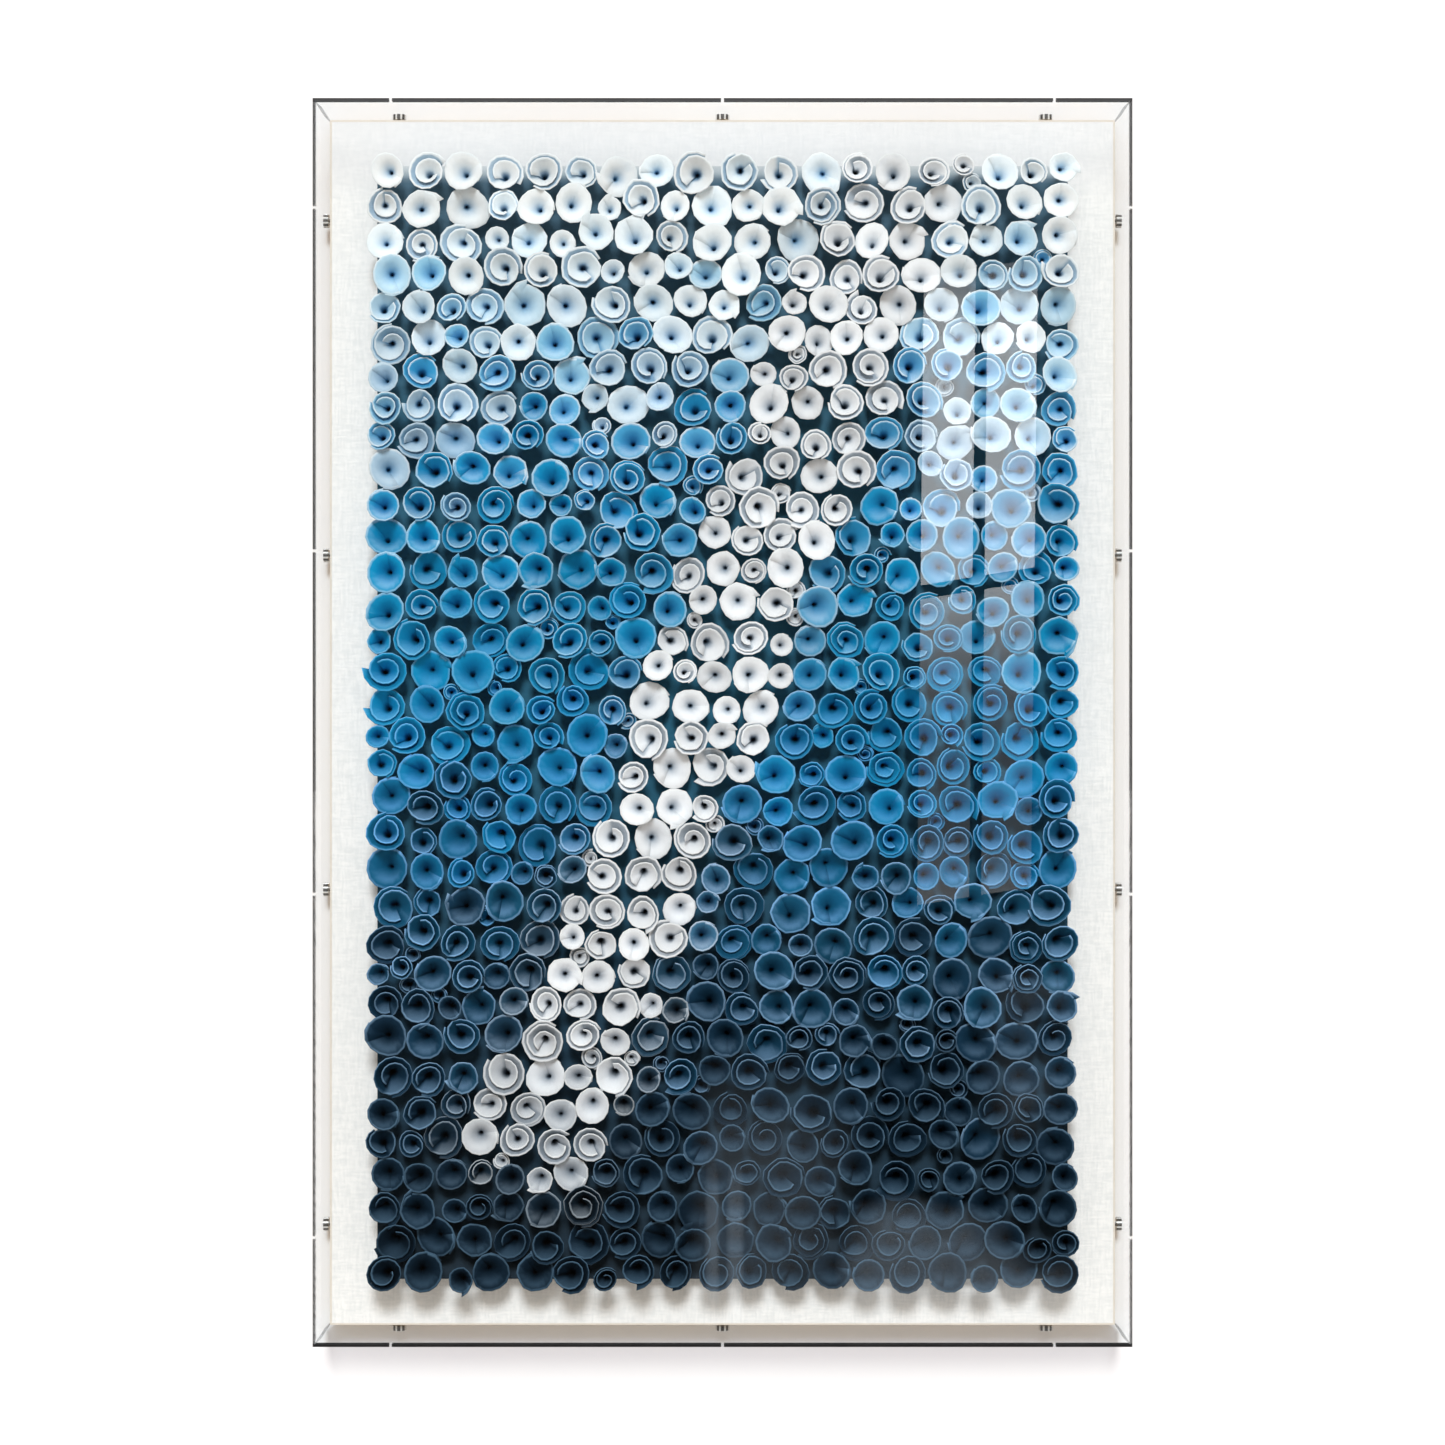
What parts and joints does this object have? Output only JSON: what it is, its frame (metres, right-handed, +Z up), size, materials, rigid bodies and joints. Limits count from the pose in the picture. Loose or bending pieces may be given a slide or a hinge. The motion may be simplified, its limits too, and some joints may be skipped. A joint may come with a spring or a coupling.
{
  "type": "paper shadow box art",
  "caption": "Wall-hung clear shadow box: rows of rolled paper cones, shaded from white to deep blue with a pale diagonal stripe, on a floating panel over a white board.",
  "frame": {"origin": "middle of the plane of the wall that it hangs on, on the strainer brace's back face", "axes": "+X to the right seen from the front, +Y into the wall, +Z up"},
  "size_m": [0.6, 0.08, 0.914],
  "materials": {
    "clear_acrylic": "polished clear",
    "pine": "planed, bare",
    "white_cloth_board": "white cloth on board",
    "blue_panel": "matte paint, darker towards the foot",
    "white_foam": "cut foam board",
    "screw_steel": "turned",
    "paper_row_01": "matte dyed paper",
    "paper_row_02": "matte dyed paper",
    "paper_row_03": "matte dyed paper",
    "paper_row_04": "matte dyed paper",
    "paper_row_05": "matte dyed paper",
    "paper_row_06": "matte dyed paper",
    "paper_row_07": "matte dyed paper",
    "paper_row_08": "matte dyed paper",
    "paper_row_09": "matte dyed paper",
    "paper_row_10": "matte dyed paper",
    "paper_row_11": "matte dyed paper",
    "paper_row_12": "matte dyed paper",
    "paper_row_13": "matte dyed paper",
    "paper_row_14": "matte dyed paper",
    "paper_row_15": "matte dyed paper",
    "paper_row_16": "matte dyed paper",
    "paper_row_17": "matte dyed paper",
    "paper_row_18": "matte dyed paper",
    "paper_row_19": "matte dyed paper",
    "paper_row_20": "matte dyed paper",
    "paper_row_21": "matte dyed paper",
    "paper_row_22": "matte dyed paper",
    "paper_row_23": "matte dyed paper",
    "paper_row_24": "matte dyed paper",
    "paper_row_25": "matte dyed paper",
    "paper_row_26": "matte dyed paper",
    "paper_row_27": "matte dyed paper",
    "paper_row_28": "matte dyed paper",
    "paper_row_29": "matte dyed paper",
    "paper_row_30": "matte dyed paper",
    "paper_row_31": "matte dyed paper",
    "paper_row_32": "matte dyed paper",
    "paper_row_33": "matte dyed paper",
    "paper_row_34": "matte dyed paper",
    "paper_stripe_01": "matte pale paper",
    "paper_stripe_02": "matte pale paper",
    "paper_stripe_03": "matte pale paper",
    "paper_stripe_04": "matte pale paper",
    "paper_stripe_05": "matte pale paper",
    "paper_stripe_06": "matte pale paper"
  },
  "bodies": {
    "root": {"art_panel": "blue_panel", "backing_board": "white_cloth_board", "bottom_wall": "clear_acrylic", "cone_row_01": "paper_row_01", "cone_row_02": "paper_row_02", "cone_row_03": "paper_row_03", "cone_row_04": "paper_row_04", "cone_row_05": "paper_row_05", "cone_row_06": "paper_row_06", "cone_row_07": "paper_row_07", "cone_row_08": "paper_row_08", "cone_row_09": "paper_row_09", "cone_row_10": "paper_row_10", "cone_row_11": "paper_row_11", "cone_row_12": "paper_row_12", "cone_row_13": "paper_row_13", "cone_row_14": "paper_row_14", "cone_row_15": "paper_row_15", "cone_row_16": "paper_row_16", "cone_row_17": "paper_row_17", "cone_row_18": "paper_row_18", "cone_row_19": "paper_row_19", "cone_row_20": "paper_row_20", "cone_row_21": "paper_row_21", "cone_row_22": "paper_row_22", "cone_row_23": "paper_row_23", "cone_row_24": "paper_row_24", "cone_row_25": "paper_row_25", "cone_row_26": "paper_row_26", "cone_row_27": "paper_row_27", "cone_row_28": "paper_row_28", "cone_row_29": "paper_row_29", "cone_row_30": "paper_row_30", "cone_row_31": "paper_row_31", "cone_row_32": "paper_row_32", "cone_row_33": "paper_row_33", "cone_row_34": "paper_row_34", "front_panel": "clear_acrylic", "hanging_cleat": "pine", "left_wall": "clear_acrylic", "panel_risers": "white_foam", "right_wall": "clear_acrylic", "strainer_brace": "pine", "strainer_rail_bottom": "pine", "strainer_rail_top": "pine", "strainer_stile_left": "pine", "strainer_stile_right": "pine", "stripe_cones_01": "paper_stripe_01", "stripe_cones_02": "paper_stripe_02", "stripe_cones_03": "paper_stripe_03", "stripe_cones_04": "paper_stripe_04", "stripe_cones_05": "paper_stripe_05", "stripe_cones_06": "paper_stripe_06", "top_wall": "clear_acrylic", "wall_screws": "screw_steel"}
  },
  "joints": []
}
